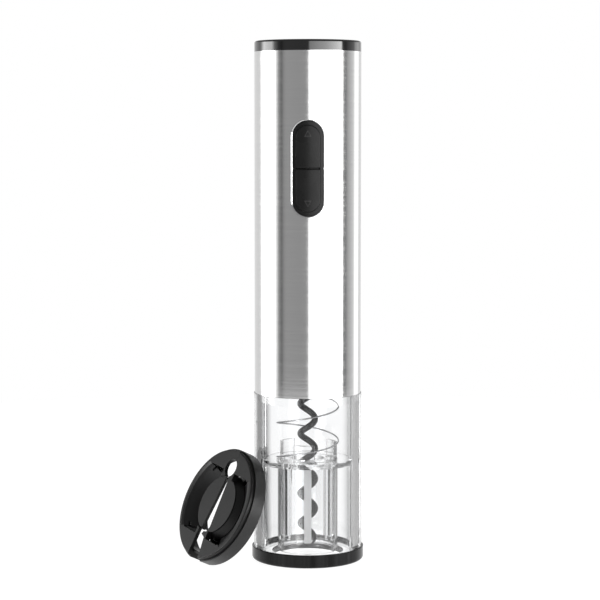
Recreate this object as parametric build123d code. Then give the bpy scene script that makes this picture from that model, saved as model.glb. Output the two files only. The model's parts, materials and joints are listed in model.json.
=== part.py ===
"""Electric wine opener with its foil cutter, as separate solids, in millimetres.

The opener stands on its bottom ring on the plane z = 0, its axis is Z, and its two buttons face -Y.
A geared motor in the steel shell turns the worm. A sprung clear cork holder slides up the clear
sleeve as the bottle neck comes in through the bottom ring. The foil cutter leans on the sleeve.
"""
from build123d import *
import math
import os

# ---- driving dimensions -------------------------------------------------------------------------
SHELL_R = 24.0            # steel shell, outside
SHELL_T = 0.8
SHELL_Z0 = 76.2
SHELL_Z1 = 229.6
TOP_Z = 234.4             # top of the cap
CLEAR = 0.1               # assembly clearance between fixed neighbours

RING_R = 25.4             # bottom ring
RING_H = 6.1
RING_FLOOR = 1.6          # seat for the sleeve
RING_IN = 22.4
MOUTH_R = 16.2            # opening for the bottle neck
FLANGE_H = 4.0            # clear flange round the opening

SLEEVE_R0 = 24.6          # clear sleeve, outside, at its foot
SLEEVE_R1 = 24.35         # and at the shell
SLEEVE_IN = 20.9
SLEEVE_TOP = 90.0         # the spigot inside the shell ends here

RAIL_X = 18.8             # inner edges of the guide rails
RAIL_T = 1.4
RAIL_Y = 3.9              # centre of each rail

HOLDER_R = 13.65          # clear cork holder, outside of its tube
HOLDER_WALL = 1.45
HOLDER_Z0 = 4.3
FLANGE_R = 19.9           # spring flange at the top of the holder
FLANGE_Z0 = 43.9
FLANGE_Z1 = 46.2
CORK_R = 9.5              # inner edges of the gripping fins
FIN_T = 3.0
FIN_COUNT = 6
FIN_Z0 = 9.5
COLLAR_R = 13.3           # three tabs that centre the spring
COLLAR_TOP = 53.4
TAB_HALF = 21.0           # half angle of a tab
WORM_HOLE_R = 7.5

WORM_R = 4.75             # worm, outside
WIRE_R = 1.42
WORM_PITCH = 13.7
WORM_TIP_Z = 6.8
WORM_TOP_Z = 88.0
WORM_PHASE = -64.4        # degrees, where the helix starts at the tip
TIP_TURN = 0.5            # share of a turn over which the wire tapers to its point

SPRING_R = 13.95          # holder spring, to the wire's centre
SPRING_WIRE = 0.34
SPRING_Z0 = 46.56
SPRING_Z1 = 97.6
SPRING_PITCH = 15.6

GEAR_M = 0.8              # planetary gearbox, two equal stages
SUN_TEETH = 12
PLANET_TEETH = 15
RING_TEETH = 42
PLANETS = 3
PRESSURE = math.radians(20)
FLANK_PLAY = 0.05         # each flank is set back by this
CARRIER_R = GEAR_M * (SUN_TEETH + PLANET_TEETH) / 2
PLANET_W = 5.5
BOX_R = 19.6              # gearbox housing, outside
BOX_Z0 = 98.0
STAGE2_Z = 104.0          # underside of the output stage's planets
STAGE1_Z = 112.8
BOX_Z1 = 121.0

MOTOR_R = 13.9
MOTOR_Z0 = 123.2
MOTOR_Z1 = 156.0
MOTOR_SHAFT_R = 1.15

CHASSIS_R = 22.9
CHASSIS_T = 1.8
CHASSIS_Z0 = 91.0
CHASSIS_Z1 = 162.8

CELL_R = 7.2              # AA cells
CELL_X = 7.6
CELL_Y0 = -5.1
CELL_Y1 = 10.1
CELL_Z0 = 166.4
CELL_L = 49.5
TRAY_Z0 = 163.0
TRAY_Z1 = 216.0
TRAY_FLAT_Y = -14.3       # flat that carries the circuit board
COLLAR_Z1 = 227.6         # top of the tray's collar, which holds the cap
LUG_ANGLES = (30, 150, 270)
CAP_TURN = 30.0           # twist that frees the cap
SCREW_X = 18.0            # chassis screws
SCREW_Y = 2.5

BUTTON_Z = 177.9          # centre of the pair of buttons
WINDOW_W = 15.1           # window in the shell, a stadium
WINDOW_H = 43.3
TRIM_LIP = 0.65           # slope round the inside of the trim
BEZEL_W = 13.4
BEZEL_H = 41.6
BEZEL_FACE_R = 23.2
KEY_W = 10.8
KEY_H = 38.2
KEY_GAP = 0.5
KEY_FACE_R = 23.75
KEY_T = 2.6

CUTTER_TILT = 25.0        # leans back from upright
CUTTER_AZIMUTH = -146.0   # horizontal heading of its face, from +X
CUTTER_ROLL = -7.0        # turn about its own axis
CUTTER_R = 26.6
CUTTER_FACE_R = 25.7
CUTTER_T = 8.0
CUTTER_X = -35.95         # centre of its rear face
CUTTER_Y = -9.85
PLATE_T = 2.6             # front plate
PLATE_R = 13.2            # the middle of the plate is sunk inside this
PLATE_SUNK = 1.2
CUP_R = 14.7              # pocket for the bottle's lip, on the rear
CUP_WALL = 1.2
RIM_IN = 22.0             # inside of the cutter's rim
POCKET_X = 4.8            # the finger pockets, from here outwards
POCKET_Y = 15.8           # and up to this height on either side
REST_Z = -4.6             # foot of the sloping finger rests
REST_T = 0.8
REAR_T = 0.8              # rear ring that closes the space round the lip pocket
RIB_X = 5.6               # rib beside the open end of the slot, in the right half
RIB_T = 1.2
THIN_T = 1.7              # plate beside the slot
HINGE_V = 24.1
KNUCKLE_R = 2.1
PIN_R = 0.8
TONGUE_R0 = 46.6          # tongue across the open end, about the hinge
TONGUE_R1 = 47.8
TONGUE_Z0 = -6.8
TONGUE_Z1 = -1.8
TONGUE_X0 = -7.2
TONGUE_X1 = 7.0
SOCKET_X = 11.6
WHEEL_R = 4.2
WHEEL_T = 0.6
WHEEL_AT = 17.4           # wheel centre, from the cutter's axis
WHEEL_ANGLE = 25.0
WHEEL_W = -6.2

BOTTOM = (Align.CENTER, Align.CENTER, Align.MIN)


# ---- helpers ------------------------------------------------------------------------------------
def rod(radius, z0, z1, x=0.0, y=0.0):
    """Upright cylinder from z0 to z1."""
    return Pos(x, y, z0) * Cylinder(radius, z1 - z0, align=BOTTOM)


def tube(outer, inner, z0, z1):
    return rod(outer, z0, z1) - rod(inner, z0 - 1, z1 + 1)


def block(x0, x1, y0, y1, z0, z1):
    """Box between two corners."""
    return Pos((x0 + x1) / 2, (y0 + y1) / 2, (z0 + z1) / 2) * Box(x1 - x0, y1 - y0, z1 - z0)


def turned(points):
    """Solid of revolution about Z from an outline of (radius, z) points."""
    outline = make_face(Polyline(*[(r, 0, z) for r, z in points], close=True))
    return revolve(outline, Axis.Z, 360)


def around(shape, count, start=0.0):
    """Copies of shape, evenly spaced about Z."""
    return [Rot(0, 0, start + 360 * k / count) * shape for k in range(count)]


def sector(radius, low, high, z0, z1):
    """Pie slice between two angles in degrees, under 180 degrees apart."""
    reach = 2 * radius
    mid = (low + high) / 2
    points = [(0, 0)]
    for angle in (low, mid, high):
        points.append((reach * math.cos(math.radians(angle)), reach * math.sin(math.radians(angle))))
    return Pos(0, 0, z0) * extrude(make_face(Polyline(*points, close=True)), z1 - z0)


def stadium(width, height, y0, y1):
    """Prism along Y whose outline is a stadium, centred on the buttons."""
    outline = Plane.XZ * SlotOverall(height, width, rotation=90)
    return Pos(0, y1, BUTTON_Z) * extrude(outline, y1 - y0)


def curved_stadium(width, height, r_out, r_in):
    """The part of a curved wall between two radii that lies behind a stadium, on the -Y side."""
    wall = tube(r_out, r_in, BUTTON_Z - height, BUTTON_Z + height)
    return wall & stadium(width, height, -40, -1)


def solids_of(*shapes):
    """One compound of separate solids, for a node that holds a group."""
    found = []
    for shape in shapes:
        found.extend(shape.solids())
    return Compound(children=found)


# ---- gears --------------------------------------------------------------------------------------
def involute_angle(radius, base):
    """Polar angle of an involute at this radius, from where it leaves the base circle."""
    if radius <= base:
        return 0.0
    a = math.acos(base / radius)
    return math.tan(a) - a


def gear_outline(teeth, tip_r, root_r, play):
    """Outline of an involute gear with a tooth centred on +X. A negative play widens the teeth."""
    pitch_r = GEAR_M * teeth / 2
    base = pitch_r * math.cos(PRESSURE)
    half = math.pi / (2 * teeth) - play / pitch_r + involute_angle(pitch_r, base)
    steps = 4
    low = max(root_r, base)
    radii = [low + (tip_r - low) * k / steps for k in range(steps + 1)]
    if root_r < base:
        radii.insert(0, root_r)
    points = []
    for k in range(teeth):
        centre = 2 * math.pi * k / teeth
        flank = [(r, half - involute_angle(r, base)) for r in radii]
        for r, a in flank:
            points.append((r * math.cos(centre - a), r * math.sin(centre - a)))
        for r, a in reversed(flank):
            points.append((r * math.cos(centre + a), r * math.sin(centre + a)))
    return make_face(Polyline(*points, close=True))


def spur(teeth, addendum, z0, z1, bore):
    pitch_r = GEAR_M * teeth / 2
    outline = gear_outline(teeth, pitch_r + addendum * GEAR_M, pitch_r - 1.25 * GEAR_M, FLANK_PLAY)
    gear = Pos(0, 0, z0) * extrude(outline, z1 - z0)
    return gear - rod(bore, z0 - 1, z1 + 1) if bore else gear


def planet_gear(index, z0):
    """A planet in its place, with a tooth pointing outwards."""
    gear = Pos(CARRIER_R, 0, 0) * spur(PLANET_TEETH, 0.88, z0, z0 + PLANET_W, 1.55)
    return Rot(0, 0, 360 * index / PLANETS) * gear


def gearbox_housing():
    """Ring gear of both stages, with the tooth spaces cut as an oversize gear."""
    pitch_r = GEAR_M * RING_TEETH / 2
    space = gear_outline(RING_TEETH, pitch_r + 1.2 * GEAR_M, pitch_r - 0.68 * GEAR_M, -FLANK_PLAY)
    body = rod(BOX_R, BOX_Z0 + 2.6, BOX_Z1)
    body -= rod(17.9, BOX_Z0, STAGE2_Z - 0.3)
    return body - Pos(0, 0, STAGE2_Z - 1) * extrude(space, BOX_Z1 - STAGE2_Z + 2)


def gearbox_base():
    """End plate that carries the output bushing and backs the holder spring."""
    plate = rod(BOX_R, BOX_Z0, BOX_Z0 + 2.5) - rod(6.0, BOX_Z0 - 1, BOX_Z0 + 4)
    rim = tube(15.9, 14.6, BOX_Z0 - 1.6, BOX_Z0)
    return plate + rim


def output_bushing():
    return turned([(4.05, 97.2), (5.95, 97.2), (5.95, 100.52), (7.2, 100.52), (7.2, 101.1), (4.05, 101.1)])


def output_carrier():
    """Carrier of the output stage, with its shaft down to the worm hub."""
    body = rod(16.4, 101.2, 103.6) + rod(4.0, 92.0, 101.2)
    pins = around(rod(1.5, 103.6, STAGE2_Z + PLANET_W + 0.3, CARRIER_R), PLANETS)
    return body + pins


def input_carrier():
    """Carrier of the motor stage, with the output stage's sun gear under it."""
    body = rod(14.6, 110.4, 112.4)
    body += spur(SUN_TEETH, 0.95, STAGE2_Z, 110.4, 0)
    pins = around(rod(1.5, 112.4, STAGE1_Z + PLANET_W + 0.3, CARRIER_R), PLANETS)
    return body + pins


def motor_pinion():
    return spur(SUN_TEETH, 0.95, STAGE1_Z, STAGE1_Z + PLANET_W + 1.5, MOTOR_SHAFT_R)


def gearbox_cover():
    """Plate between gearbox and motor, drilled for the three screws."""
    plate = rod(BOX_R, BOX_Z1 + CLEAR, MOTOR_Z0 - CLEAR) - rod(5.2, BOX_Z1 - 1, MOTOR_Z0 + 1)
    for hole in around(rod(0.85, BOX_Z1 - 1, MOTOR_Z0 + 1, 9.0), 2, 90):
        plate -= hole
    return plate


def motor_screws():
    """Two screws through the cover into the motor's face."""
    screw = rod(0.8, BOX_Z1 - 0.2, MOTOR_Z0 + 1.2, 9.0) + rod(1.6, BOX_Z1 - 1.2, BOX_Z1 + CLEAR, 9.0)
    return solids_of(*around(screw, 2, 90))


# ---- motor --------------------------------------------------------------------------------------
def motor_can():
    """Drawn steel can with its front bearing boss."""
    can = rod(MOTOR_R, MOTOR_Z0, MOTOR_Z1) - rod(MOTOR_R - 1.0, MOTOR_Z0 + 1.4, MOTOR_Z1 + 1)
    can += rod(4.6, MOTOR_Z0 - 1.8, MOTOR_Z0)
    can -= rod(MOTOR_SHAFT_R + 0.05, MOTOR_Z0 - 3, MOTOR_Z0 + 3)
    for hole in around(rod(0.85, MOTOR_Z0 - 1, MOTOR_Z0 + 2, 9.0), 2, 90):
        can -= hole
    return can


def motor_magnets():
    ring = tube(MOTOR_R - 1.05, 10.8, MOTOR_Z0 + 6, MOTOR_Z1 - 4)
    return solids_of(*[ring & sector(20, a - 68, a + 68, MOTOR_Z0, MOTOR_Z1) for a in (0, 180)])


def motor_armature():
    """Three-pole laminated stack with its commutator, pressed on the shaft."""
    poles = [Rot(0, 0, 120 * k) * block(0, 9.0, -2.6, 2.6, MOTOR_Z0 + 7, MOTOR_Z1 - 6) for k in range(3)]
    shoes = tube(10.3, 8.3, MOTOR_Z0 + 7, MOTOR_Z1 - 6)
    for k in range(3):
        shoes -= Rot(0, 0, 60 + 120 * k) * block(0, 14, -1.2, 1.2, MOTOR_Z0, MOTOR_Z1)
    body = rod(3.4, MOTOR_Z0 + 5, MOTOR_Z1 - 1) + poles + shoes
    return body - rod(MOTOR_SHAFT_R, MOTOR_Z0, MOTOR_Z1 + 1)


def motor_shaft():
    return rod(MOTOR_SHAFT_R, STAGE1_Z, MOTOR_Z1 + 3.2)


def motor_end_bell():
    """Plastic end bell with a bearing recess and two terminal slots."""
    bell = rod(MOTOR_R, MOTOR_Z1 + 0.02, MOTOR_Z1 + 3.4)
    bell -= rod(MOTOR_SHAFT_R + 0.05, MOTOR_Z1 - 1, MOTOR_Z1 + 3.3)
    for side in (-1, 1):
        bell -= block(side * 7 - 1.5, side * 7 + 1.5, -0.35, 0.35, MOTOR_Z1 - 1, MOTOR_Z1 + 5)
    return bell


def motor_terminals():
    blades = [block(s * 7 - 1.4, s * 7 + 1.4, -0.25, 0.25, MOTOR_Z1 + 0.4, MOTOR_Z1 + 5.2) for s in (-1, 1)]
    return solids_of(*blades)


# ---- shell, cap and chassis ---------------------------------------------------------------------
def steel_shell():
    shell = tube(SHELL_R, SHELL_R - SHELL_T, SHELL_Z0, SHELL_Z1)
    return shell - stadium(WINDOW_W, WINDOW_H, -40, -1)


def top_cap():
    """Gloss cap with a rounded edge; its skirt and spigot drop into the shell."""
    cap = rod(SHELL_R, SHELL_Z1 + 0.05, TOP_Z)
    cap = fillet(cap.edges().filter_by(GeomType.CIRCLE).group_by(Axis.Z)[-1], 1.0)
    cap += tube(21.0, 19.2, 224.4, SHELL_Z1 + 0.1) + tube(22.4, 19.2, COLLAR_Z1 + 0.3, SHELL_Z1 + 0.1)
    cap += rod(5.8, 220.6, SHELL_Z1 + 0.1)
    lugs = [Rot(0, 0, a) * block(20.5, 22.1, -2.5, 2.5, 225.1, 226.7) for a in LUG_ANGLES]
    return cap + lugs


def cap_seal():
    """Ring seal in the cap's skirt."""
    section = Pos(22.74, 0, 228.8) * Rot(90, 0, 0) * Circle(0.3)
    return revolve(section, Axis.Z, 360)


def contact_carrier():
    """Disc under the cap, keyed so that it lifts but doesn't turn; it carries the upper contacts."""
    disc = rod(20.2, 218.4, 223.6) - rod(5.95, 220.4, 225)
    pockets = block(-13.6, 13.6, CELL_Y0 - 3.2, CELL_Y0 + 3.2, 217, 218.9)
    pockets += block(-13.6, 13.6, CELL_Y1 - 3.2, CELL_Y1 + 3.2, 217, 218.9)
    return disc - pockets


def upper_contacts():
    """Two plated links, each joining a pair of cells."""
    links = [block(-13.2, 13.2, y - 3, y + 3, 218.4, 218.85) for y in (CELL_Y0, CELL_Y1)]
    return solids_of(*links)


def chassis():
    """Ribbed black frame inside the shell, before it is split."""
    skin = tube(CHASSIS_R, CHASSIS_R - CHASSIS_T, CHASSIS_Z0, CHASSIS_Z1)
    for z, bore in ((101.0, BOX_R), (112.0, BOX_R), (128.0, MOTOR_R), (142.0, MOTOR_R), (155.0, MOTOR_R)):
        skin += tube(CHASSIS_R - 1, bore + CLEAR, z, z + 2)
    for side in (-1, 1):
        skin += rod(2.6, CHASSIS_Z0 + 34, CHASSIS_Z1, side * SCREW_X, SCREW_Y)
        skin -= rod(1.05, CHASSIS_Z0, CHASSIS_Z1 + 1, side * SCREW_X, SCREW_Y)
    return skin - block(-9.5, 9.5, -30, -15, 154.0, CHASSIS_Z1 + 1)


def chassis_half(side):
    """Left half for side -1, right half for side 1."""
    gap = 0.05
    low, high = sorted((side * gap, side * 30))
    return chassis() & block(low, high, -30, 30, CHASSIS_Z0 - 1, CHASSIS_Z1 + 1)


def chassis_screws():
    """One screw into each half holds the battery tray down on the chassis."""
    screws = [rod(1.0, 146, TRAY_Z0 + 1.82, s * SCREW_X, SCREW_Y) for s in (-1, 1)]
    heads = [rod(2.0, TRAY_Z0 + 1.82, TRAY_Z0 + 3.0, s * SCREW_X, SCREW_Y) for s in (-1, 1)]
    return solids_of(*[a + b for a, b in zip(screws, heads)])


def battery_tray():
    """Moulded tray with four cell bores and a flat for the circuit board."""
    tray = rod(CHASSIS_R, TRAY_Z0, TRAY_Z1)
    tray -= block(-30, 30, -30, TRAY_FLAT_Y, TRAY_Z0 - 1, TRAY_Z1 + 1)
    tray += tube(CHASSIS_R, 21.3, TRAY_Z1 - 0.1, COLLAR_Z1)
    for x in (-CELL_X, CELL_X):
        for y in (CELL_Y0, CELL_Y1):
            tray -= rod(CELL_R + 0.15, TRAY_Z0 + 1.8, TRAY_Z1 + 9, x, y)
    for side in (-1, 1):
        tray -= rod(2.3, TRAY_Z0 + 1.8, TRAY_Z1 + 1, side * SCREW_X, SCREW_Y)
        tray -= rod(1.1, TRAY_Z0 - 1, TRAY_Z0 + 3, side * SCREW_X, SCREW_Y)
    for angle in LUG_ANGLES:
        track = tube(22.4, 20, 224.9, 226.9) & sector(30, angle - 9, angle + CAP_TURN + 9, 220, 230)
        entry = tube(22.4, 20, 224.9, COLLAR_Z1 + 1)
        entry &= sector(30, angle + CAP_TURN - 9, angle + CAP_TURN + 9, 220, 230)
        tray -= track
        tray -= entry
    return tray


def battery_cells():
    """Four AA cells, standing alternately up and down."""
    cells = []
    for x in (-CELL_X, CELL_X):
        for y in (CELL_Y0, CELL_Y1):
            up = (x > 0) == (y > 0)
            can = rod(CELL_R, CELL_Z0, CELL_Z0 + CELL_L, x, y)
            can = fillet(can.edges().filter_by(GeomType.CIRCLE), 0.6)
            z = CELL_Z0 + CELL_L if up else CELL_Z0 - 0.9
            cells.append(can + rod(2.7, z, z + 0.9, x, y))
    return solids_of(*cells)


def lower_contacts():
    """Plated contacts at the foot of the tray."""
    plate = rod(6.4, TRAY_Z0 + 1.85, TRAY_Z0 + 2.3)
    return solids_of(*[Pos(x, y, 0) * plate for x in (-CELL_X, CELL_X) for y in (CELL_Y0, CELL_Y1)])


# ---- controls -----------------------------------------------------------------------------------
def button_trim():
    """Bright trim ring, flush in the shell's window, with a slope down to the keys' surround."""
    ring = curved_stadium(WINDOW_W - 0.1, WINDOW_H - 0.1, SHELL_R, SHELL_R - 1.6)
    ring -= stadium(BEZEL_W + 0.1, BEZEL_H + 0.1, -40, -1)
    inner = []
    for edge in ring.edges():
        middle, box = edge @ 0.5, edge.bounding_box()
        in_front = math.hypot(middle.X, middle.Y) > SHELL_R - 0.02
        if in_front and max(-box.min.X, box.max.X) < BEZEL_W / 2 + 0.2:
            inner.append(edge)
    return chamfer(inner, TRIM_LIP)


def button_bezel():
    """Black surround with the opening that guides the two keys."""
    body = curved_stadium(BEZEL_W, BEZEL_H, BEZEL_FACE_R, SHELL_R - 1.75)
    flange = curved_stadium(WINDOW_W + 1.1, WINDOW_H + 1.1, SHELL_R - 1.7, SHELL_R - 2.9)
    return body + flange - stadium(KEY_W + 0.2, KEY_H + 0.2, -40, -1)


def key(side):
    """Key above the middle for side 1, or below it for side -1, with its stem and arrow mark."""
    back_r = KEY_FACE_R - KEY_T
    face = curved_stadium(KEY_W, KEY_H, KEY_FACE_R, back_r)
    low, high = sorted((side * KEY_GAP / 2, side * 30))
    face &= block(-20, 20, -40, 0, BUTTON_Z + low, BUTTON_Z + high)
    rim = face.edges().filter_by_position(Axis.Y, -KEY_FACE_R - 0.01, -KEY_FACE_R + 0.75)
    face = fillet(rim, 0.35)
    if side > 0:
        lip = curved_stadium(KEY_W, KEY_H, back_r + 0.6, back_r)
        face += lip & block(-20, 20, -40, 0, BUTTON_Z - 0.6, BUTTON_Z + 1)
    else:
        face -= tube(back_r + 1.35, back_r - 1, BUTTON_Z - 0.9, BUTTON_Z + 1)
    mark_z = BUTTON_Z + side * (KEY_H / 2 - 3.6)
    stem = Pos(0, -20.3, BUTTON_Z + side * 9.5) * Rot(90, 0, 0) * Cylinder(2.0, 2.4, align=BOTTOM)
    return face + stem - arrow_mark(mark_z, side)


def arrow_mark(z, side):
    """Shallow triangle outline that points away from the middle."""
    width, height, line, depth = 3.4, 3.0, 0.42, 0.3
    base, tip = z - side * height / 2, z + side * height / 2
    face = make_face(Polyline((-width / 2, 0, base), (width / 2, 0, base), (0, 0, tip), close=True))
    inner = offset(face, -line)
    prism = extrude(face - inner, 40, dir=(0, -1, 0))
    return prism & tube(KEY_FACE_R + 1, KEY_FACE_R - depth, z - 5, z + 5)


def circuit_board():
    return block(-7.5, 7.5, -16.0, -14.5, 164.2, 206.0)


def switch_body(side):
    """Square tactile switch with a round hole for its plunger."""
    z = BUTTON_Z + side * 9.5
    body = block(-3, 3, -19.4, -16.02, z - 3, z + 3)
    return body - Pos(0, -17.2, z) * Rot(90, 0, 0) * Cylinder(1.8, 6, align=BOTTOM)


def switch_bodies():
    return solids_of(switch_body(-1), switch_body(1))


def switch_plunger(side):
    """The plunger moves with its key."""
    z = BUTTON_Z + side * 9.5
    return Pos(0, -18.1, z) * Rot(90, 0, 0) * Cylinder(1.7, 2.15, align=BOTTOM)


def lead(side):
    """Insulated wire from a motor terminal to the circuit board."""
    x = side * 7.0
    path = FilletPolyline(
        (x, -0.3, 160.6), (x, -8.0, 160.6), (side * 5.5, -15.3, 161.2), (side * 5.5, -15.3, 164.15),
        radius=1.3,
    )
    return sweep(Plane(path @ 0, z_dir=path % 0) * Circle(0.55), path=path)


# ---- clear lower end ----------------------------------------------------------------------------
def bottom_ring():
    """Gloss ring that the opener stands on, round the clear foot flange."""
    ring = turned([
        (RING_IN, 0), (RING_R, 0), (RING_R, RING_H), (SLEEVE_R0 + 0.08, RING_H),
        (SLEEVE_R0 + 0.08, RING_FLOOR), (RING_IN, RING_FLOOR),
    ])
    outside = ring.edges().filter_by(GeomType.CIRCLE).filter_by(lambda e: abs(e.radius - RING_R) < 0.01)
    foot, lip = outside.sort_by(Axis.Z)
    ring = fillet(foot, 1.4)
    outside = ring.edges().filter_by(GeomType.CIRCLE).filter_by(lambda e: abs(e.radius - RING_R) < 0.01)
    return fillet(outside.sort_by(Axis.Z)[-1], 0.3)


def clear_sleeve():
    """Thick clear tube: a foot flange round the mouth, a spigot inside the shell, and guide rails."""
    spigot = SHELL_R - SHELL_T - CLEAR
    sleeve = turned([
        (MOUTH_R, 0), (RING_IN - CLEAR, 0), (RING_IN - CLEAR, RING_FLOOR + 0.02),
        (SLEEVE_R0, RING_FLOOR + 0.02), (SLEEVE_R1, SHELL_Z0 - 0.05), (spigot, SHELL_Z0 - 0.05),
        (spigot, SLEEVE_TOP), (SLEEVE_IN, SLEEVE_TOP), (SLEEVE_IN, FLANGE_H), (MOUTH_R, FLANGE_H),
    ])
    for side in (-1, 1):
        x0, x1 = sorted((side * RAIL_X, side * (SLEEVE_IN + 0.3)))
        for y in (-RAIL_Y, RAIL_Y):
            sleeve += block(x0, x1, y - RAIL_T / 2, y + RAIL_T / 2, FLANGE_H - 0.1, SLEEVE_TOP)
    return sleeve


def cork_holder():
    """Clear tube with gripping fins, under a pierced flange that slides on the sleeve's rails."""
    holder = tube(HOLDER_R, HOLDER_R - HOLDER_WALL, HOLDER_Z0, FLANGE_Z1)
    holder += rod(FLANGE_R, FLANGE_Z0, FLANGE_Z1)
    fin = block(CORK_R, HOLDER_R - 0.5, -FIN_T / 2, FIN_T / 2, FIN_Z0, FLANGE_Z1 - 0.5)
    for copy in around(fin, FIN_COUNT, -90):
        holder += copy
    for angle in (-98, 22, 142):
        tab = tube(COLLAR_R, COLLAR_R - 1.5, FLANGE_Z1 - 0.1, COLLAR_TOP)
        holder += tab & sector(20, angle - TAB_HALF, angle + TAB_HALF, FLANGE_Z1 - 0.1, COLLAR_TOP)
    slot = RAIL_T / 2 + 0.3
    for side in (-1, 1):
        x0, x1 = sorted((side * (FLANGE_R - 1.0), side * (SLEEVE_IN - 0.3)))
        inner = RAIL_Y - slot
        holder += block(x0, x1, -inner, inner, FLANGE_Z1 - 6, FLANGE_Z1)
        n0, n1 = sorted((side * (RAIL_X - 0.3), side * 22))
        for y in (-RAIL_Y, RAIL_Y):
            holder -= block(n0, n1, y - slot, y + slot, FLANGE_Z0 - 5, FLANGE_Z1 + 1)
    return holder - rod(WORM_HOLE_R, FLANGE_Z0 - 1, FLANGE_Z1 + 1)


def holder_spring():
    """Light steel spring between the holder's flange and the gearbox, with even turns."""
    path = Pos(0, 0, SPRING_Z0) * Rot(0, 0, 180) * Helix(SPRING_PITCH, SPRING_Z1 - SPRING_Z0, SPRING_R)
    return sweep(Plane(path @ 0, z_dir=path % 0) * Circle(SPRING_WIRE), path=path, is_frenet=True)


def worm():
    """Right-handed coated steel worm: a tapering point, even turns and a straight shank."""
    mean_r = WORM_R - WIRE_R
    tip_len = TIP_TURN * WORM_PITCH
    turn = Rot(0, 0, WORM_PHASE)
    body_path = turn * Pos(0, 0, WORM_TIP_Z + tip_len) * Rot(0, 0, 360 * TIP_TURN) * Helix(
        WORM_PITCH, WORM_TOP_Z - WORM_TIP_Z - tip_len, mean_r)
    body = sweep(Plane(body_path @ 0, z_dir=body_path % 0) * Circle(WIRE_R), path=body_path, is_frenet=True)
    tip_path = turn * Pos(0, 0, WORM_TIP_Z) * Helix(WORM_PITCH, tip_len, mean_r)
    sections = [Plane(tip_path @ t, z_dir=tip_path % t) * Circle(r)
                for t, r in ((0, 0.25), (0.5, 1.0), (1, WIRE_R))]
    tip = sweep(sections, path=tip_path, multisection=True, is_frenet=True)
    return body + tip


def worm_hub():
    """Steel hub that clamps the worm's top end to the gearbox's output shaft."""
    hub = rod(5.2, WORM_TOP_Z - 3.0, 96.8)
    hub = chamfer(hub.edges().filter_by(GeomType.CIRCLE).sort_by(Axis.Z)[0], 0.6)
    return hub - rod(4.02, 91.9, 98) - worm()


# ---- foil cutter --------------------------------------------------------------------------------
def cutter_place():
    """Where the cutter stands. Its own frame has +Z out of its face, and its rear rim is on z = 0."""
    tilt, heading = math.radians(CUTTER_TILT), math.radians(CUTTER_AZIMUTH)
    normal = Vector(math.cos(tilt) * math.cos(heading), math.cos(tilt) * math.sin(heading), math.sin(tilt))
    across = Vector(0, 0, 1).cross(normal).normalized()
    rear = Vector(CUTTER_X, CUTTER_Y, CUTTER_R * math.cos(tilt))
    face = Plane(origin=rear + normal * CUTTER_T, x_dir=across, z_dir=normal)
    return face.location * Rot(0, 0, CUTTER_ROLL)


def rest_prism():
    """Outline of one finger rest from above: a fan whose ends slant a little."""
    corners = [(2.5, -9.9), (20, -16.8), (45, 0), (20, 16.8), (2.5, 9.9)]
    return Pos(0, 0, -CUTTER_T - 1) * extrude(make_face(Polyline(*corners, close=True)), CUTTER_T + 3)


def cutter_pocket():
    """Cut for one finger pocket: open to the space below at both ends, with a sloping rest between."""
    wall_r, back = CUP_R + CUP_WALL, -CUTTER_T - 1
    ledge = turned([
        (PLATE_R, 1), (PLATE_R, -1.9), (wall_r, -4.3), (wall_r, back), (RIM_IN, back), (RIM_IN, 1),
    ])
    rest = turned([
        (RIM_IN + 2, 0.01), (RIM_IN + 0.6, -0.35), (RIM_IN - 0.5, -1.2), (wall_r, REST_Z),
        (wall_r, back), (RIM_IN + 3, back), (RIM_IN + 3, 0.01),
    ])
    rounding = turned([
        (RIM_IN - 0.1, 1), (RIM_IN + 2, 1), (RIM_IN + 2, 0.01), (RIM_IN + 0.6, -0.35), (RIM_IN - 0.1, -0.9),
    ])
    opening = ledge & block(POCKET_X, 30, -POCKET_Y, POCKET_Y, back, 2)
    return (opening - (rest & rest_prism())) + (rounding & rest_prism())


def cutter_disc():
    """Both halves in one: rim, sunk plate, lip pocket, finger pockets and wheel mounts."""
    disc = rod(CUTTER_R, -CUTTER_T, -1.9) + rod(CUTTER_FACE_R, -1.9, 0)
    circles = disc.edges().filter_by(GeomType.CIRCLE)
    rims = [e for e in circles if abs(e.center().Z) < 0.01 or abs(e.center().Z + CUTTER_T) < 0.01]
    disc = fillet(rims, 0.6)
    disc -= rod(RIM_IN, -CUTTER_T - 1, -PLATE_T)
    disc -= rod(PLATE_R, -PLATE_SUNK, 1)
    floor_z = REST_Z - REST_T
    disc += turned([
        (CUP_R + CUP_WALL, -CUTTER_T), (CUP_R, -CUTTER_T), (CUP_R, -4.9), (12.4, -2.6), (12.4, -2.4),
        (CUP_R + CUP_WALL, -2.4),
    ])
    disc -= cutter_reliefs()
    band = tube(RIM_IN + 0.2, CUP_R + CUP_WALL - 0.3, floor_z, -PLATE_T + 0.3)
    closed_rear = tube(RIM_IN + 0.3, CUP_R + CUP_WALL - 0.3, -CUTTER_T, -CUTTER_T + REAR_T) - cutter_reliefs()
    rib = block(RIB_X, RIB_X + RIB_T, -RIM_IN - 0.3, -CUP_R - 0.2, -CUTTER_T, -PLATE_T + 0.3)
    for side in (0, 180):
        disc += Rot(0, 0, side) * (band & rest_prism())
        disc -= Rot(0, 0, side) * cutter_pocket()
    disc += closed_rear + rib
    for angle in wheel_angles():
        bar = block(CUP_R + 0.6, RIM_IN + 0.3, -2.2, 2.2, -CUTTER_T, -CUTTER_T + 1.2)
        boss = rod(2.0, WHEEL_W + 0.5, floor_z + 0.1, WHEEL_AT)
        disc += Rot(0, 0, angle) * (bar + boss)
        room = rod(WHEEL_R + 0.3, WHEEL_W - 0.5, WHEEL_W + 0.5, WHEEL_AT)
        hole = rod(PIN_R, -CUTTER_T - 1, floor_z + 0.5, WHEEL_AT)
        disc -= Rot(0, 0, angle) * (room + hole)
    return disc


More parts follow.
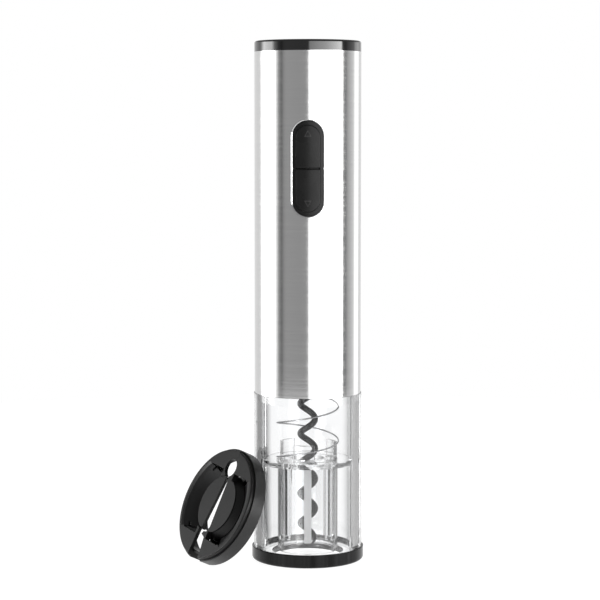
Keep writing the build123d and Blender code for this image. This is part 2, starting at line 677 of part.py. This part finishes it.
def cutter_reliefs():
    """Thinned plate and open rear beside the slot, at both ends."""
    back = -CUTTER_T - 1
    reach = rod(RIM_IN + 1.2, back, -THIN_T)
    low = reach & block(-16, 0.5, -30, -13, back, -THIN_T)
    high = rod(RIM_IN, back, -THIN_T) & block(-9, 0.5, 11, 21.5, back, -THIN_T)
    side = reach & block(-16, -3, 12.5, 24, back, -THIN_T)
    return low + high + side


def wheel_angles():
    return [WHEEL_ANGLE, 180 - WHEEL_ANGLE, 180 + WHEEL_ANGLE, 360 - WHEEL_ANGLE]


def cutter_slot():
    """Wedge-shaped slot between the halves, out through the rim, with the relief hole at its top."""
    points = [
        (-1.6, 15), (-3.2, -12), (-2.9, -30), (5.8, -30), (5.4, -22.6), (3.4, -15.5), (0.6, -14.6),
        (2.7, -10.5), (0.3, 12), (0.3, 15),
    ]
    wedge = Pos(0, 0, -CUTTER_T - 1) * extrude(make_face(Polyline(*points, close=True)), CUTTER_T + 2)
    return wedge + rod(4.2, -CUTTER_T - 1, 1, 0, 17.6)


def hinge_arc(play, x0, x1):
    """Curved bar about the hinge, near the open end of the slot."""
    arc = tube(TONGUE_R1 + play, TONGUE_R0 - play, TONGUE_Z0 - play, TONGUE_Z1 + play)
    return Pos(0, HINGE_V, 0) * arc & block(x0, x1, -30, -20, -CUTTER_T, 0)


def cutter_half(side):
    """Left half for side -1 and right half for side 1; they share a lapped knuckle at the top."""
    seam, mid, play = 0.15, -CUTTER_T / 2, 0.15
    low, high = sorted((side * seam, side * 40))
    half = (cutter_disc() - cutter_slot()) & block(low, high, -40, 40, -CUTTER_T - 1, 1)
    own = (mid, 0.0) if side < 0 else (-CUTTER_T, mid - 0.1)
    other = (-CUTTER_T - 1, mid) if side < 0 else (mid - 0.1, 1)
    half -= rod(KNUCKLE_R + play, other[0], other[1], 0, HINGE_V)
    half += rod(KNUCKLE_R, own[0], own[1], 0, HINGE_V)
    half -= rod(PIN_R + (0.0 if side < 0 else 0.03), -CUTTER_T - 1, -1.2, 0, HINGE_V)
    if side < 0:
        return half + hinge_arc(0, TONGUE_X0, TONGUE_X1)
    return half - hinge_arc(play, 0, SOCKET_X)


def cutter_hinge_pin():
    return rod(PIN_R, -CUTTER_T + 0.3, -1.4, 0, HINGE_V)


def cutter_wheel(index):
    """Thin steel cutting wheel with a bevelled edge."""
    edge, half = 0.08, WHEEL_T / 2
    wheel = turned([
        (PIN_R + 0.04, -half), (WHEEL_R - 1.0, -half), (WHEEL_R, -edge / 2), (WHEEL_R, edge / 2),
        (WHEEL_R - 1.0, half), (PIN_R + 0.04, half),
    ])
    return Rot(0, 0, wheel_angles()[index]) * Pos(WHEEL_AT, 0, WHEEL_W) * wheel


def cutter_axles(indices):
    pin = rod(PIN_R, -CUTTER_T + 0.2, REST_Z - REST_T + 0.4, WHEEL_AT)
    return solids_of(*[Rot(0, 0, wheel_angles()[k]) * pin for k in indices])


# ---- assembly -----------------------------------------------------------------------------------
def build_parts():
    """Every node's name and shape."""
    parts = {
        "bottom_ring": bottom_ring(), "clear_sleeve": clear_sleeve(), "steel_shell": steel_shell(),
        "cork_holder": cork_holder(), "holder_spring": holder_spring(),
        "worm": worm(), "worm_hub": worm_hub(),
        "top_cap": top_cap(), "cap_seal": cap_seal(),
        "contact_carrier": contact_carrier(), "upper_contacts": upper_contacts(),
        "chassis_left": chassis_half(-1), "chassis_right": chassis_half(1),
        "chassis_screws": chassis_screws(), "battery_tray": battery_tray(),
        "battery_cells": battery_cells(), "lower_contacts": lower_contacts(),
        "button_trim": button_trim(), "button_bezel": button_bezel(),
        "button_up": key(1), "button_down": key(-1),
        "switch_plunger_up": switch_plunger(1), "switch_plunger_down": switch_plunger(-1),
        "switch_bodies": switch_bodies(), "circuit_board": circuit_board(),
        "lead_positive": lead(1), "lead_negative": lead(-1),
        "gearbox_housing": gearbox_housing(), "gearbox_base": gearbox_base(),
        "gearbox_cover": gearbox_cover(), "output_bushing": output_bushing(),
        "output_carrier": output_carrier(), "input_carrier": input_carrier(),
        "motor_pinion": motor_pinion(), "motor_shaft": motor_shaft(), "motor_armature": motor_armature(),
        "motor_can": motor_can(), "motor_magnets": motor_magnets(), "motor_end_bell": motor_end_bell(),
        "motor_terminals": motor_terminals(), "motor_screws": motor_screws(),
    }
    for index in range(PLANETS):
        parts[f"output_planet_{index + 1}"] = planet_gear(index, STAGE2_Z)
        parts[f"input_planet_{index + 1}"] = planet_gear(index, STAGE1_Z)
    place = cutter_place()
    cutter = {
        "cutter_half_left": cutter_half(-1), "cutter_half_right": cutter_half(1),
        "cutter_hinge_pin": cutter_hinge_pin(),
        "cutter_axles_right": cutter_axles((0, 3)), "cutter_axles_left": cutter_axles((1, 2)),
    }
    for index in range(4):
        cutter[f"cutter_wheel_{index + 1}"] = cutter_wheel(index)
    for name, shape in cutter.items():
        parts[name] = place * shape
    return parts


os.makedirs("parts", exist_ok=True)
for node, solid in build_parts().items():
    export_step(solid, f"parts/{node}.step")
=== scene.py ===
"""Studio view and surface finishes of the electric wine opener and its foil cutter."""

import json
import math

import bpy
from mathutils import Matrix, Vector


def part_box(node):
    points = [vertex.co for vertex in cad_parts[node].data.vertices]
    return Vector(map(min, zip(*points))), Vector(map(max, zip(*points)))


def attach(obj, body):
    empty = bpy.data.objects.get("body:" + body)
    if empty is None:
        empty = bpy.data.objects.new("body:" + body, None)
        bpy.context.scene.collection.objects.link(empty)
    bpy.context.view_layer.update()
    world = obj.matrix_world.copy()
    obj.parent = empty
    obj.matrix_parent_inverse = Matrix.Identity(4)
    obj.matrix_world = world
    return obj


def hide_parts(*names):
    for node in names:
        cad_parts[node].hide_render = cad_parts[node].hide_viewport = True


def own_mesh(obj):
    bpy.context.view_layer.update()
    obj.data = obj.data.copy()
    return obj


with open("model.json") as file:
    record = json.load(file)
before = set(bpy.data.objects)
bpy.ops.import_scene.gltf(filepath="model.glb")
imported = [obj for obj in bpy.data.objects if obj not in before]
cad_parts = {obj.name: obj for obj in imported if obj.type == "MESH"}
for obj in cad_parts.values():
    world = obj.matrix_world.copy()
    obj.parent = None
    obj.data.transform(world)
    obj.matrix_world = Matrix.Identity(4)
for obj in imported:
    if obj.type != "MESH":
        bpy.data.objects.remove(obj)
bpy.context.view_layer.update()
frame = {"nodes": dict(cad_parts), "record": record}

MM = 0.001

# The cork holder's etched fin: where it is, and the share of its clearness that the haze takes.
FIN_HALF = 1.55 * MM
FIN_OUTER_Y = -13.8 * MM
FIN_INNER_Y = -9.3 * MM
FIN_LOW = 9.3 * MM
FIN_HIGH = 43.6 * MM
FIN_HAZE = 0.75

# The marks sunk in the two keys: radii from the opener's axis, and heights from the middle of the pair.
BUTTON_Z = sum(corner[2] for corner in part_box("button_bezel")) / 2
MARK_R = 23.6 * MM
MARK_DEPTH = 0.5 * MM
MARK_HALF = 2.2 * MM
MARK_LOW = 13.5 * MM
MARK_HIGH = 17.5 * MM

# The foil cutter: its lean, and heights and radii in its own frame, from the middle of its thickness.
# Painted shade: its pockets are painted as pale as the face down to SHALLOW, and darkest from DEEP down.
# Past CUTTER_RIM_R the rim side gets painted light.
CUTTER_TILT = math.radians(25.0)
CUTTER_HEADING = math.radians(-146.0)
CUTTER_DEEP = 0.5 * MM
CUTTER_SHALLOW = 2.8 * MM
CUTTER_POCKET_R = 21.9 * MM
CUTTER_RIM_R = 26.2 * MM


# ---- node helpers -------------------------------------------------------------------------------
class Nodes:
    """Short calls that build one node tree."""

    def __init__(self, tree):
        self.tree = tree

    def feed(self, socket, value):
        """Link an output to a socket, or give the socket a value."""
        if isinstance(value, bpy.types.NodeSocket):
            self.tree.links.new(value, socket)
        else:
            socket.default_value = value

    def node(self, kind, inputs=(), **settings):
        """New node. Its inputs are given by name or number, or as a list in the sockets' order."""
        made = self.tree.nodes.new(kind)
        for name, value in settings.items():
            setattr(made, name, value)
        for key, value in inputs.items() if isinstance(inputs, dict) else enumerate(inputs):
            self.feed(made.inputs[key], value)
        return made

    def math(self, operation, *values):
        return self.node("ShaderNodeMath", values, operation=operation).outputs[0]

    def ramp(self, fac, *stops, interpolation="LINEAR"):
        """Colour ramp of (position, colour or grey level) stops."""
        made = self.node("ShaderNodeValToRGB", [fac])
        made.color_ramp.interpolation = interpolation
        elements = made.color_ramp.elements
        while len(elements) < len(stops):
            elements.new(0.5)
        for element, (position, colour) in zip(elements, stops):
            element.position = position
            element.color = (*colour, 1.0) if isinstance(colour, tuple) else (colour, colour, colour, 1.0)
        return made.outputs["Color"]


class Shader(Nodes):
    """One material, from its Principled surface back."""

    def __init__(self, name, **sockets):
        self.material = bpy.data.materials.new(name)
        self.material.use_nodes = True
        super().__init__(self.material.node_tree)
        self.surface = self.tree.nodes["Principled BSDF"]
        for label, value in sockets.items():
            self.set(label, value)
        self.place = self.node("ShaderNodeTexCoord").outputs["Object"]

    def set(self, label, value):
        """Give a socket of the surface one value, or one colour, for the whole material."""
        socket = self.surface.inputs[label.replace("_", " ")]
        socket.default_value = (*value, 1.0) if isinstance(value, tuple) else value

    def link(self, output, label):
        self.tree.links.new(output, self.surface.inputs[label])

    def stretched(self, scale):
        """Object coordinates, scaled differently along each axis."""
        return self.node("ShaderNodeMapping", {"Vector": self.place, "Scale": scale}).outputs[0]

    def noise(self, scale, detail=3.0, rough=0.5, at=None):
        inputs = {"Vector": at or self.place, "Scale": scale, "Detail": detail, "Roughness": rough}
        return self.node("ShaderNodeTexNoise", inputs).outputs["Fac"]

    def bump(self, height, distance, strength):
        inputs = {"Height": height, "Distance": distance, "Strength": strength}
        self.link(self.node("ShaderNodeBump", inputs).outputs["Normal"], "Normal")

    def split(self):
        return self.node("ShaderNodeSeparateXYZ", [self.place]).outputs


def tint(shader, low, high, scale):
    """Slight mottling between two colours."""
    shader.link(shader.ramp(shader.noise(scale), (0.3, low), (0.7, high)), "Base Color")


def gloss_range(shader, low, high, scale):
    """Roughness that wanders between two values, like handling marks."""
    shader.link(shader.ramp(shader.noise(scale, 4.0), (0.35, low), (0.7, high)), "Roughness")


# ---- finishes -----------------------------------------------------------------------------------
def brushed_shell():
    """Stainless tube, brushed round its girth: fine rings of uneven depth."""
    s = Shader("brushed_shell", Metallic=1.0, Anisotropic=0.55)
    rings = s.noise(1.0, 4.0, 0.65, s.stretched((35.0, 35.0, 5200.0)))
    broad = s.noise(1.0, 3.0, 0.5, s.stretched((12.0, 12.0, 900.0)))
    s.link(s.ramp(rings, (0.25, (0.60, 0.60, 0.605)), (0.75, (0.68, 0.68, 0.675))), "Base Color")
    s.link(s.ramp(broad, (0.3, 0.09), (0.7, 0.14)), "Roughness")
    s.bump(rings, 0.004 * MM, 0.5)
    return s.material


def polished_trim():
    """Bright plated trim with faint smears."""
    s = Shader("trim_chrome", Metallic=1.0)
    tint(s, (0.66, 0.66, 0.67), (0.74, 0.74, 0.74), 300.0)
    gloss_range(s, 0.07, 0.14, 900.0)
    return s.material


def gloss_black():
    """Moulded gloss plastic with faint haze and a slight waviness."""
    s = Shader("gloss_black", IOR=1.5)
    s.set("Coat Weight", 0.35)
    s.set("Coat Roughness", 0.03)
    tint(s, (0.0025, 0.0025, 0.0027), (0.005, 0.005, 0.0053), 60.0)
    gloss_range(s, 0.04, 0.11, 220.0)
    s.bump(s.noise(70.0, 2.0), 0.01 * MM, 0.35)
    return s.material


def ring_black():
    """The bottom ring's plastic: less glossy than the cap, with upright streaks."""
    s = Shader("ring_black", IOR=1.5, Specular_IOR_Level=0.18)
    streaks = s.noise(1.0, 2.0, 0.6, s.stretched((190.0, 190.0, 3.0)))
    s.link(s.ramp(streaks, (0.36, (0.001, 0.001, 0.001)), (0.64, (0.020, 0.020, 0.0205))), "Base Color")
    gloss_range(s, 0.08, 0.16, 220.0)
    s.bump(s.noise(70.0, 2.0), 0.01 * MM, 0.35)
    return s.material


def moulded_plastic(name, low, high, roughness):
    """Spark-textured moulded plastic: fine grain, cloudy colour and uneven sheen."""
    s = Shader(name, IOR=1.48)
    tint(s, low, high, 90.0)
    gloss_range(s, roughness - 0.05, roughness + 0.07, 140.0)
    s.bump(s.noise(1400.0, 3.0, 0.6), 0.02 * MM, 0.5)
    return s.material


def clear_plastic():
    """Moulded clear plastic with the slight waviness of a thick wall. One gripping fin is etched."""
    s = Shader("clear_plastic", IOR=1.49)
    x, y, z = s.split()
    inside = s.math("LESS_THAN", s.math("ABSOLUTE", x), FIN_HALF)
    for test in (s.math("LESS_THAN", y, FIN_INNER_Y), s.math("GREATER_THAN", y, FIN_OUTER_Y),
                 s.math("GREATER_THAN", z, FIN_LOW), s.math("LESS_THAN", z, FIN_HIGH)):
        inside = s.math("MULTIPLY", inside, test)
    cloud = s.noise(160.0, 3.0)
    s.link(s.math("MULTIPLY", inside, s.math("ADD", s.math("MULTIPLY", cloud, 0.2), 0.35)), "Roughness")
    s.link(s.math("SUBTRACT", 1.0, s.math("MULTIPLY", inside, FIN_HAZE)), "Transmission Weight")
    clear = s.ramp(s.noise(20.0), (0.3, (0.985, 0.99, 0.995)), (0.7, (1.0, 1.0, 1.0)))
    etched = s.ramp(cloud, (0.3, (0.90, 0.905, 0.91)), (0.7, (0.97, 0.975, 0.98)))
    # In this node, input 0 is the share, inputs 6 and 7 are the two colours, and output 2 is the mixed one.
    mixed = s.node("ShaderNodeMix", {0: inside, 6: clear, 7: etched}, data_type="RGBA")
    s.link(mixed.outputs[2], "Base Color")
    s.bump(s.noise(1.0, 1.0, 0.4, s.stretched((60.0, 60.0, 9.0))), 0.015 * MM, 0.3)
    return s.material


def worm_coating():
    """Dark non-stick coating with fine orange peel and worn, lighter high spots."""
    s = Shader("worm_coating", IOR=1.5, Specular_IOR_Level=0.4)
    wear_and_painted_light = s.noise(420.0, 5.0, 0.65)
    s.link(s.ramp(wear_and_painted_light, (0.5, (0.004, 0.004, 0.0042)), (0.85, (0.03, 0.03, 0.031))), "Base Color")
    gloss_range(s, 0.12, 0.2, 600.0)
    s.bump(s.noise(1800.0, 3.0), 0.006 * MM, 0.4)
    return s.material


def plain_metal(name, low, high, roughness, scale, anisotropy):
    """Bare or plated metal with fine mottling."""
    s = Shader(name, Metallic=1.0, Anisotropic=anisotropy)
    tint(s, low, high, scale)
    gloss_range(s, roughness * 0.75, roughness * 1.3, scale * 1.7)
    s.bump(s.noise(scale * 3.0), 0.006 * MM, 0.4)
    return s.material


def laminations():
    """Stack of thin steel sheets: dark lines between the sheets."""
    s = Shader("lamination", Metallic=0.9)
    waves = {"Vector": s.place, "Scale": 320.0, "Distortion": 0.4}
    layers = s.node("ShaderNodeTexWave", waves, bands_direction="Z").outputs["Fac"]
    s.link(s.ramp(layers, (0.2, (0.09, 0.085, 0.08)), (0.6, (0.32, 0.31, 0.30))), "Base Color")
    gloss_range(s, 0.35, 0.5, 400.0)
    s.bump(layers, 0.04 * MM, 0.6)
    return s.material


def cell_wrap():
    """Battery sleeves: dark green body, a pale band near each end and bare metal at the tips."""
    s = Shader("cell_wrap", IOR=1.45)
    height = s.split()["Z"]
    low, high = (value[2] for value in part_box("battery_cells"))
    share = s.math("DIVIDE", s.math("SUBTRACT", height, low), high - low)
    ends = s.ramp(share, (0.0, 1.0), (0.028, 0.0), (0.972, 0.0), (0.98, 1.0))
    green, pale, steel = (0.02, 0.12, 0.07), (0.55, 0.5, 0.34), (0.6, 0.6, 0.6)
    stops = ((0.0, steel), (0.03, pale), (0.09, green), (0.80, pale), (0.84, green), (0.97, steel))
    s.link(s.ramp(share, *stops, interpolation="CONSTANT"), "Base Color")
    s.link(ends, "Metallic")
    gloss_range(s, 0.2, 0.32, 150.0)
    return s.material


def circuit_board():
    """Solder mask over copper tracks: a weave of slightly raised, brighter lines."""
    s = Shader("board_green", IOR=1.5)
    upright = s.node("ShaderNodeMapping", {"Vector": s.place, "Rotation": (math.radians(90.0), 0.0, 0.0)})
    tracks = s.node("ShaderNodeTexBrick", {"Vector": upright.outputs[0], "Scale": 260.0}).outputs["Fac"]
    s.link(s.ramp(tracks, (0.4, (0.012, 0.10, 0.035)), (0.6, (0.03, 0.22, 0.08))), "Base Color")
    gloss_range(s, 0.2, 0.3, 300.0)
    s.bump(tracks, 0.03 * MM, 0.6)
    return s.material


def key_plastic():
    """Satin black plastic of the keys and their surround, with paler floors in the two marks."""
    s = Shader("key_black", IOR=1.48, Specular_IOR_Level=0.16)
    x, y, z = s.split()
    radius = s.math("SQRT", s.math("ADD", s.math("MULTIPLY", x, x), s.math("MULTIPLY", y, y)))
    below_face = s.math("LESS_THAN", radius, MARK_R)
    above_floor = s.math("GREATER_THAN", radius, MARK_R - MARK_DEPTH)
    sunk = s.math("MULTIPLY", below_face, above_floor)
    narrow = s.math("LESS_THAN", s.math("ABSOLUTE", x), MARK_HALF)
    far = s.math("ABSOLUTE", s.math("SUBTRACT", z, BUTTON_Z))
    zone = s.math("MULTIPLY", s.math("GREATER_THAN", far, MARK_LOW), s.math("LESS_THAN", far, MARK_HIGH))
    mark = s.math("MULTIPLY", s.math("MULTIPLY", sunk, narrow), zone)
    shade = s.math("ADD", s.math("MULTIPLY", s.noise(90.0), 0.006), 0.005)
    s.link(s.math("ADD", shade, s.math("MULTIPLY", mark, 0.05)), "Base Color")
    gloss_range(s, 0.25, 0.37, 140.0)
    s.bump(s.noise(2200.0, 3.0, 0.6), 0.008 * MM, 0.5)
    return s.material


def cutter_plastic():
    """Spark-textured plastic of the foil cutter, with painted light on the rim and painted shade down in the
    pockets.
    """
    s = Shader("cutter_black", IOR=1.48, Specular_IOR_Level=0.30)
    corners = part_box("cutter_half_left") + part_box("cutter_half_right")
    centre = [(min(c[k] for c in corners) + max(c[k] for c in corners)) / 2 for k in range(3)]
    flat = math.cos(CUTTER_TILT)
    facing = (flat * math.cos(CUTTER_HEADING), flat * math.sin(CUTTER_HEADING), math.sin(CUTTER_TILT))
    offset = s.node("ShaderNodeVectorMath", {0: s.place, 1: centre}, operation="SUBTRACT").outputs["Vector"]
    height = s.node("ShaderNodeVectorMath", {0: offset, 1: facing}, operation="DOT_PRODUCT").outputs["Value"]
    reach = s.node("ShaderNodeVectorMath", {0: offset}, operation="LENGTH").outputs["Value"]
    squares = s.math("MULTIPLY", reach, reach), s.math("MULTIPLY", height, height)
    radius = s.math("SQRT", s.math("SUBTRACT", *squares))
    # Painted shade: the base colour darkens with depth down in the pockets.
    limits = {"From Min": CUTTER_DEEP, "From Max": CUTTER_SHALLOW, "To Min": 0.2, "To Max": 1.0}
    sunk = s.node("ShaderNodeMapRange", {"Value": height, **limits}).outputs[0]
    inner = s.math("LESS_THAN", radius, CUTTER_POCKET_R)
    rim = s.math("GREATER_THAN", radius, CUTTER_RIM_R)
    kept = s.math("ADD", s.math("MULTIPLY", inner, sunk), s.math("SUBTRACT", 1.0, inner))
    # Painted light: the rim side is painted paler, with mottling. This and the pocket shade scale the base
    # colour.
    painted_rim_light = s.math("ADD", 1.2, s.math("MULTIPLY", s.noise(60.0), 2.0))
    wear_and_painted_light = s.math("ADD", kept, s.math("MULTIPLY", rim, painted_rim_light))
    shade = s.math("ADD", 0.0045, s.math("MULTIPLY", s.noise(90.0), 0.005))
    s.link(s.math("MULTIPLY", shade, wear_and_painted_light), "Base Color")
    gloss_range(s, 0.33, 0.45, 140.0)
    s.bump(s.noise(1700.0, 3.0, 0.6), 0.02 * MM, 0.5)
    return s.material


# Finishes with a function of their own, by the record's material slots.
OWN_FINISHES = {
    "brushed_shell": brushed_shell, "trim_chrome": polished_trim, "gloss_black": gloss_black,
    "key_black": key_plastic, "clear_plastic": clear_plastic, "worm_coating": worm_coating,
    "lamination": laminations, "cell_wrap": cell_wrap, "board_green": circuit_board,
    "cutter_black": cutter_plastic,
}
# Moulded plastics: darker colour, lighter colour, roughness.
PLASTICS = {
    "gear_white": ((0.70, 0.68, 0.61), (0.79, 0.77, 0.70), 0.42),
    "gearbox_grey": ((0.14, 0.14, 0.15), (0.19, 0.19, 0.2), 0.5),
    "chassis_black": ((0.022, 0.022, 0.024), (0.034, 0.034, 0.036), 0.5),
    "bell_white": ((0.72, 0.71, 0.66), (0.81, 0.80, 0.76), 0.4),
    "switch_black": ((0.024, 0.024, 0.024), (0.034, 0.034, 0.034), 0.45),
    "lead_red": ((0.40, 0.012, 0.012), (0.50, 0.02, 0.018), 0.45),
    "lead_black": ((0.014, 0.014, 0.014), (0.022, 0.022, 0.022), 0.45),
    "seal_rubber": ((0.014, 0.014, 0.014), (0.022, 0.022, 0.022), 0.7),
}
# Metals: darker colour, lighter colour, roughness, scale of the mottling, anisotropy.
METALS = {
    "spring_steel": ((0.44, 0.44, 0.45), (0.56, 0.56, 0.57), 0.30, 500.0, 0.0),
    "turned_steel": ((0.48, 0.48, 0.49), (0.60, 0.60, 0.60), 0.24, 700.0, 0.4),
    "bronze": ((0.36, 0.21, 0.09), (0.50, 0.31, 0.14), 0.42, 1500.0, 0.0),
    "pinion_brass": ((0.62, 0.44, 0.18), (0.74, 0.55, 0.25), 0.26, 500.0, 0.0),
    "plated_can": ((0.52, 0.52, 0.51), (0.66, 0.66, 0.65), 0.32, 120.0, 0.0),
    "magnet_grey": ((0.07, 0.07, 0.07), (0.13, 0.13, 0.13), 0.6, 900.0, 0.0),
    "contact_plate": ((0.60, 0.59, 0.54), (0.74, 0.73, 0.68), 0.25, 500.0, 0.0),
    "fastener": ((0.44, 0.44, 0.43), (0.56, 0.56, 0.56), 0.33, 500.0, 0.0),
    "wheel_steel": ((0.58, 0.58, 0.59), (0.70, 0.70, 0.71), 0.16, 800.0, 0.0),
}


def dress_nodes():
    """Give every CAD node the finish of its slot in the record."""
    made = {slot: build() for slot, build in OWN_FINISHES.items()}
    made |= {slot: moulded_plastic(slot, *values) for slot, values in PLASTICS.items()}
    made |= {slot: plain_metal(slot, *values) for slot, values in METALS.items()}
    for part in frame["record"]["subparts"]:
        target = frame["nodes"][part["node"]]
        target.data.materials.clear()
        target.data.materials.append(made[part["material_slot"]])
    ring = frame["nodes"]["bottom_ring"].data.materials
    ring.clear()
    ring.append(ring_black())


def closing_spring():
    """The holder's spring: a copy of its mesh, carried by the holder in place of the CAD part."""
    coil = bpy.data.objects.new("spring_coil", frame["nodes"]["holder_spring"].data.copy())
    bpy.context.collection.objects.link(coil)
    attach(coil, "holder")
    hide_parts("holder_spring")
    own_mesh(coil)


# ---- studio -------------------------------------------------------------------------------------
# The camera's place in metres, its downward pitch in degrees and its lens in millimetres.
CAMERA_DISTANCE = 0.90005
CAMERA_HEIGHT = 0.19705
CAMERA_SIDE = -0.0035
CAMERA_PITCH = 5.015
CAMERA_LENS = 119.75
FLOOR_RADIUS = 0.55

# Brightness of the studio by heading, in degrees from the camera's side, positive to the right.
STUDIO = (
    (-180, 0.9), (-124, 0.9), (-118, 2.0), (-108, 7.2), (-84, 7.2), (-76, 1.8), (-66, 0.36), (-58, 0.15),
    (-54, 0.34), (-48, 0.42), (-5, 0.38), (1, 0.42), (4, 3.2), (40, 5.6), (76, 10.4), (80, 0.45), (88, 0.18),
    (96, 0.5), (118, 0.95), (122, 1.8), (138, 1.7), (144, 0.9), (180, 0.9),
)
# What shows through the clear plastic, by the same headings: white behind, grey flats to the sides.
BEHIND = (
    (-180, 1.0), (-170, 1.0), (-164, 0.18), (-130, 0.24), (-118, 0.8), (-100, 0.8), (-50, 0.6), (-42, 4.0),
    (-24, 4.0), (-16, 0.5), (40, 0.7), (60, 1.2), (100, 0.7), (140, 0.40), (158, 0.28), (164, 0.55),
    (171, 1.0), (180, 1.0),
)
CEILING_LOW, CEILING_FULL = 0.12, 0.30    # sine of elevation where the walls give way to the ceiling
CEILING = 0.32                            # the ceiling's brightness
TALLEST = max(level for degrees, level in STUDIO + BEHIND)


class World(Nodes):
    """The world's node tree."""

    def __init__(self):
        world = bpy.data.worlds.new("studio")
        bpy.context.scene.world = world
        world.use_nodes = True
        super().__init__(world.node_tree)
        self.tree.nodes.clear()

    def profile(self, share, stops):
        """Brightness by heading, from stops of (degrees, level). A ramp holds 0 to 1, so it's scaled."""
        scaled = [((degrees + 180) / 360, level / TALLEST) for degrees, level in stops]
        return self.math("MULTIPLY", self.ramp(share, *scaled), TALLEST)

    def rise(self, *limits):
        """Smooth change, for (value, low, high, start, end)."""
        return self.node("ShaderNodeMapRange", limits, interpolation_type="SMOOTHSTEP").outputs[0]

    def light(self, strength):
        return self.node("ShaderNodeBackground", [(1.0, 1.0, 1.0, 1.0), strength]).outputs[0]

    def either(self, choice, first, second):
        return self.node("ShaderNodeMixShader", [choice, first, second]).outputs[0]


def studio_world():
    """Soft boxes and grey flats as a sky that varies with heading; plain white behind the object."""
    w = World()
    direction = w.node("ShaderNodeTexCoord").outputs["Generated"]
    x, y, z = w.node("ShaderNodeSeparateXYZ", [direction]).outputs
    heading = w.math("ARCTAN2", x, w.math("MULTIPLY", y, -1.0))
    share = w.math("ADD", w.math("DIVIDE", heading, math.tau), 0.5)
    walls = w.profile(share, STUDIO)
    cover = w.rise(z, CEILING_LOW, CEILING_FULL, 0.0, 1.0)
    kept = w.math("MULTIPLY", walls, w.math("SUBTRACT", 1.0, cover))
    lit = w.light(w.math("ADD", kept, w.math("MULTIPLY", cover, CEILING)))
    rays = w.node("ShaderNodeLightPath").outputs
    seen = w.either(rays["Is Transmission Ray"], lit, w.light(w.profile(share, BEHIND)))
    seen = w.either(rays["Is Camera Ray"], seen, w.light(1.0))
    w.node("ShaderNodeOutputWorld", [seen])


def studio_floor():
    """Round white floor that gives off its own light, so that it meets the background unseen."""
    bpy.ops.mesh.primitive_circle_add(vertices=128, radius=FLOOR_RADIUS, fill_type="NGON")
    floor = bpy.context.object
    floor.name = "floor"
    s = Shader("floor", Roughness=0.8, IOR=1.05)
    s.set("Base Color", (0.3, 0.3, 0.3))
    s.set("Emission Color", (1.0, 1.0, 1.0))
    s.set("Emission Strength", 0.96)
    floor.data.materials.append(s.material)
    floor.visible_transmission = False


def camera():
    """Camera in front of the keys, looking slightly down."""
    data = bpy.data.cameras.new("camera")
    data.lens = CAMERA_LENS
    data.sensor_width = 36.0
    data.clip_start = 0.01
    view = bpy.data.objects.new("camera", data)
    view.location = (CAMERA_SIDE, -CAMERA_DISTANCE, CAMERA_HEIGHT)
    view.rotation_euler = (math.radians(90.0 - CAMERA_PITCH), 0.0, 0.0)
    bpy.context.collection.objects.link(view)
    bpy.context.scene.camera = view


dress_nodes()
closing_spring()
studio_world()
studio_floor()
camera()
bpy.context.scene.view_settings.view_transform = "Standard"
